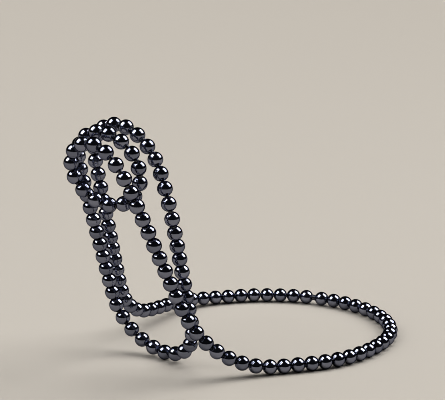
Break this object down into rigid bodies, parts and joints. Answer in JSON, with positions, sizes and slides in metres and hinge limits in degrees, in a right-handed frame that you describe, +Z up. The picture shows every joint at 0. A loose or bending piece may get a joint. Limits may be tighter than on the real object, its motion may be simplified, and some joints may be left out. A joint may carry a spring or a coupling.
{
  "type": "bottle holder",
  "caption": "Free-standing bottle holder of drilled beads strung on a bent wire, with a ring and a foot loop on the table and leaning risers that wrap round the bottle's neck.",
  "frame": {"origin": "on the table, in the middle of the holder's footprint", "axes": "+X from the ring toward the wraps, along the bottle's neck axis seen from above; +Y to the side of the right riser; +Z up"},
  "size_m": [0.245, 0.17, 0.1679],
  "materials": {
    "beads": "glossy",
    "wire": "satin"
  },
  "bodies": {
    "root": {"ring_beads": "beads", "right_riser_beads": "beads", "first_wrap_beads": "beads", "second_wrap_beads": "beads", "left_drop_beads": "beads", "foot_loop_beads": "beads", "right_rise_beads": "beads", "third_wrap_beads": "beads", "left_riser_beads": "beads", "core_wire": "wire", "joint_sleeve": "wire"}
  },
  "joints": []
}
